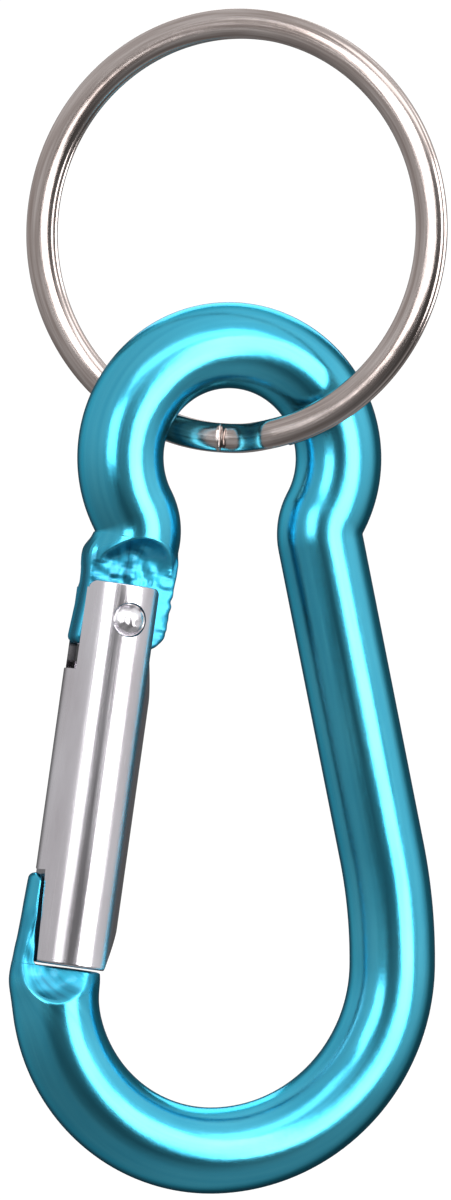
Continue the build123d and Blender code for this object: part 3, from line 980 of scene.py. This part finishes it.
def split_ring():
    """Two turns of flattened wire, with a jog from the rear turn to the front one, and two cut ends."""
    outer = np.array([cos(ring_turn), -sin(ring_turn), 0])
    normal = np.array([-sin(ring_turn), -cos(ring_turn), 0])
    upward = np.array([0, 0, 1.0])
    coil_offset = (ring_coil_thickness + ring_coil_gap) / 2
    middle_radius = ring_radius - ring_wire_width / 2
    jog_start = 360 + ring_end_angle + ring_end_gap_angle
    jog_end = jog_start + ring_jog_angle
    rear_start = jog_end - 360 + ring_end_gap_angle
    front_end = 720 + ring_end_angle
    section = wire_section()
    end_step = 0.35
    end_places = end_step * np.array([0, 0.4, 1])
    end_sizes = (0.86, 0.97, 1.0)
    angles = np.arange(rear_start + 2 * end_step, front_end - 2 * end_step, 1.0)
    angles = np.concatenate([rear_start + end_places, angles, front_end - end_places[::-1]])
    vertices, grain = [], []
    for index, angle in enumerate(angles):
        share = np.clip((angle - jog_start) / ring_jog_angle, 0, 1)
        offset = -coil_offset * cos(share * pi)
        to_end = min(index, len(angles) - 1 - index)
        size = end_sizes[min(to_end, 2)]
        a = radians(angle)
        direction = cos(a) * outer + sin(a) * upward
        for across, along in section:
            out = direction * (middle_radius + across * size)
            vertices.append(ring_centre + out + normal * (offset + along * size))
            grain.append((a * middle_radius, across, along))
    return vertices, ring_faces(len(angles), len(section)), grain


# ---------------------------------------------------------------- the pieces
aluminium = bare_aluminium()

vertices, faces, grain, struck = carabiner_body()
dyed = anodised_aluminium()
body = new_piece("bent_rod", vertices, faces, "carabiner", dyed, grain)
# The struck share roughens these places and darkens them as painted shade.
body.data.attributes.new("struck", "FLOAT", "POINT").data.foreach_set("value", struck)
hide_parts("carabiner_body")

vertices, faces, grain = split_ring()
ring = new_piece("coiled_ring", vertices, faces, "ring", nickel_plate(), grain)
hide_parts("split_ring")

tube = gate_tube(aluminium)
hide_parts("gate")

vertices, faces = hinge_rivet()
rivet = new_piece("clenched_rivet", vertices, faces, "gate", rivet_aluminium())
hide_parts("hinge_rivet")

vertices, faces = plunger()
cap = new_piece("stemmed_plunger", vertices, faces, "plunger", black_plastic())
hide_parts("spring_plunger")

vertices, faces, grain = coil_spring()
spring = new_piece("wound_spring", vertices, faces, "gate", spring_steel(), grain)
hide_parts("gate_spring")
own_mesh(spring)

# ---------------------------------------------------------------- floor, lights and camera
VIEW_TARGET = Vector((-0.4, 0, -37.8)) * MM
VIEW_HEIGHT = 80.76 * MM
VIEW_AZIMUTH = radians(-15)
VIEW_ROLL = radians(0.6)
LENS = 240
SENSOR = 36
FLOOR_HEIGHT = -0.16
FLOOR_HALF = 3.0


def add_floor():
    """A pale floor that glows a little, so that it is as light as the room behind it."""
    mesh = bpy.data.meshes.new("studio_floor")
    half = FLOOR_HALF
    corners = [(-half, -half, FLOOR_HEIGHT), (half, -half, FLOOR_HEIGHT), (half, half, FLOOR_HEIGHT),
               (-half, half, FLOOR_HEIGHT)]
    mesh.from_pydata(corners, [], [(0, 1, 2, 3)])
    floor = bpy.data.objects.new("studio_floor", mesh)
    bpy.context.scene.collection.objects.link(floor)
    material, nodes, links, shader = new_material("pale_floor")
    grain = noise_node(nodes, links, object_vector(nodes), 40)
    colour = ramp_node(nodes, links, grain, [(0.3, (0.93, 0.93, 0.93)), (0.7, (0.96, 0.96, 0.96))])
    links.new(colour, shader.inputs["Base Color"])
    shader.inputs["Roughness"].default_value = 0.9
    shader.inputs["Emission Color"].default_value = (1, 1, 1, 1)
    shader.inputs["Emission Strength"].default_value = 0.35
    mesh.materials.append(material)
    floor.visible_glossy = False


def add_world():
    """White to the eye; to reflections a pale room, darker on the left, dark below and round the camera."""
    world = bpy.data.worlds.new("studio")
    bpy.context.scene.world = world
    world.use_nodes = True
    nodes, links = world.node_tree.nodes, world.node_tree.links
    nodes.clear()
    output = nodes.new("ShaderNodeOutputWorld")
    direction = nodes.new("ShaderNodeTexCoord").outputs["Generated"]
    split = nodes.new("ShaderNodeSeparateXYZ")
    links.new(direction, split.inputs["Vector"])
    height = range_node(nodes, links, split.outputs["Z"], -0.65, 0.35, 0.4, 1.05, smooth=True)
    side = range_node(nodes, links, split.outputs["X"], -0.8, 0.4, 0.7, 1.0, smooth=True)
    front = range_node(nodes, links, split.outputs["Y"], -0.95, -0.45, 0.2, 1.0, smooth=True)
    above = range_node(nodes, links, split.outputs["Z"], 0.1, 0.4, 0.0, 1.0, smooth=True)
    away = math_node(nodes, links, "MAXIMUM", front, above)
    rightward = range_node(nodes, links, split.outputs["X"], -1, 1, -0.6, 0.6)
    back_right = math_node(nodes, links, "ADD", split.outputs["Y"], rightward)
    behind = range_node(nodes, links, back_right, 0.35, 0.95, 1.0, 0.15, smooth=True)
    shade = math_node(nodes, links, "MULTIPLY", math_node(nodes, links, "MULTIPLY", side, away), behind)
    room = nodes.new("ShaderNodeBackground")
    room.inputs["Color"].default_value = (1, 1, 1, 1)
    links.new(math_node(nodes, links, "MULTIPLY", height, shade), room.inputs["Strength"])
    white = nodes.new("ShaderNodeBackground")
    white.inputs["Color"].default_value = (1, 1, 1, 1)
    white.inputs["Strength"].default_value = 1.05
    mix = nodes.new("ShaderNodeMixShader")
    links.new(nodes.new("ShaderNodeLightPath").outputs["Is Camera Ray"], mix.inputs["Fac"])
    links.new(room.outputs["Background"], mix.inputs[1])
    links.new(white.outputs["Background"], mix.inputs[2])
    links.new(mix.outputs["Shader"], output.inputs["Surface"])


def add_softbox(name, azimuth, elevation, distance, width, height, strength, roll=0.0):
    """A soft light that faces the object, at an azimuth and elevation in degrees, as the camera's."""
    a, e = radians(azimuth), radians(elevation)
    back = Vector((sin(a) * cos(e), -cos(a) * cos(e), sin(e)))
    light = bpy.data.lights.new(name, "AREA")
    light.shape = "RECTANGLE"
    light.size = width
    light.size_y = height
    light.energy = strength * width * height * pi
    lamp = bpy.data.objects.new(name, light)
    turn = back.to_track_quat("Z", "Y").to_matrix().to_4x4() @ Matrix.Rotation(radians(roll), 4, "Z")
    lamp.matrix_world = Matrix.Translation(VIEW_TARGET + back * distance) @ turn
    lamp.visible_camera = False
    bpy.context.scene.collection.objects.link(lamp)


def add_camera():
    """A long lens, level with the object and to the left of its front."""
    data = bpy.data.cameras.new("camera")
    data.lens = LENS
    data.sensor_width = SENSOR
    camera = bpy.data.objects.new("camera", data)
    back = Vector((sin(VIEW_AZIMUTH), -cos(VIEW_AZIMUTH), 0))
    distance = VIEW_HEIGHT * LENS / SENSOR
    turn = back.to_track_quat("Z", "Y").to_matrix().to_4x4() @ Matrix.Rotation(VIEW_ROLL, 4, "Z")
    camera.matrix_world = Matrix.Translation(VIEW_TARGET + back * distance) @ turn
    bpy.context.scene.collection.objects.link(camera)
    bpy.context.scene.camera = camera


add_floor()
add_world()
add_softbox("right_softbox", 26, 2, 0.35, 0.20, 0.33, 6, roll=12)
add_softbox("left_softbox", -39, 11, 0.35, 0.14, 0.14, 4.5)
add_softbox("top_softbox", -6, 38, 0.35, 0.33, 0.10, 2.0)
add_softbox("rear_softbox", 160, 35, 0.40, 0.30, 0.20, 2.5)
add_camera()
bpy.context.scene.view_settings.view_transform = "Standard"
